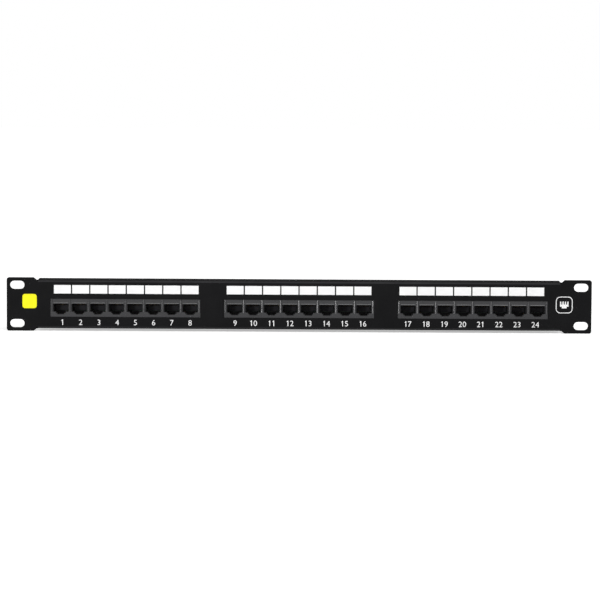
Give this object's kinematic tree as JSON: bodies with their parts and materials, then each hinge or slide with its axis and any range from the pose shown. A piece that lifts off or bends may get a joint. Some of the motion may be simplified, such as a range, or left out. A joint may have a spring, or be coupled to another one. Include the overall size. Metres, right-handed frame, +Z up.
{
  "type": "rack patch panel",
  "caption": "Black steel 19-inch rack panel, one unit high, with rows of modular network jacks in front and wire terminal blocks on circuit boards behind.",
  "frame": {"origin": "centre of the plane in which the backs of the two ears meet the rack's rails", "axes": "+X along the panel to the right seen from the front, +Y to the rear, +Z up"},
  "size_m": [0.4826, 0.0338, 0.0442],
  "materials": {
    "panel_paint": "fine satin black powder coat",
    "jack_plastic": "smooth moulded black",
    "insert_plastic": "black moulding with gold plated wires",
    "board_laminate": "green solder mask on glass laminate",
    "terminal_plastic": "moulded black",
    "bright_zinc": "bright zinc plate",
    "contact_gold": "gold plate on spring wire",
    "clip_tin": "tin plate on phosphor bronze",
    "print_white": "screen printed ink",
    "print_yellow": "screen printed ink"
  },
  "bodies": {
    "root": {"front_panel": "panel_paint", "jack_housing_left": "jack_plastic", "jack_housing_centre": "jack_plastic", "jack_housing_right": "jack_plastic", "contact_insert_01": "insert_plastic", "contact_insert_02": "insert_plastic", "contact_insert_03": "insert_plastic", "contact_insert_04": "insert_plastic", "contact_insert_05": "insert_plastic", "contact_insert_06": "insert_plastic", "contact_insert_07": "insert_plastic", "contact_insert_08": "insert_plastic", "contact_insert_09": "insert_plastic", "contact_insert_10": "insert_plastic", "contact_insert_11": "insert_plastic", "contact_insert_12": "insert_plastic", "contact_insert_13": "insert_plastic", "contact_insert_14": "insert_plastic", "contact_insert_15": "insert_plastic", "contact_insert_16": "insert_plastic", "contact_insert_17": "insert_plastic", "contact_insert_18": "insert_plastic", "contact_insert_19": "insert_plastic", "contact_insert_20": "insert_plastic", "contact_insert_21": "insert_plastic", "contact_insert_22": "insert_plastic", "contact_insert_23": "insert_plastic", "contact_insert_24": "insert_plastic", "circuit_board_left": "board_laminate", "circuit_board_centre": "board_laminate", "circuit_board_right": "board_laminate", "terminal_block_01": "terminal_plastic", "terminal_block_02": "terminal_plastic", "terminal_block_03": "terminal_plastic", "terminal_block_04": "terminal_plastic", "terminal_block_05": "terminal_plastic", "terminal_block_06": "terminal_plastic", "terminal_block_07": "terminal_plastic", "terminal_block_08": "terminal_plastic", "terminal_block_09": "terminal_plastic", "terminal_block_10": "terminal_plastic", "terminal_block_11": "terminal_plastic", "terminal_block_12": "terminal_plastic", "standoff_01": "bright_zinc", "standoff_02": "bright_zinc", "standoff_03": "bright_zinc", "standoff_04": "bright_zinc", "standoff_05": "bright_zinc", "standoff_06": "bright_zinc", "board_screw_01": "bright_zinc", "board_screw_02": "bright_zinc", "board_screw_03": "bright_zinc", "board_screw_04": "bright_zinc", "board_screw_05": "bright_zinc", "board_screw_06": "bright_zinc"}
  },
  "joints": []
}
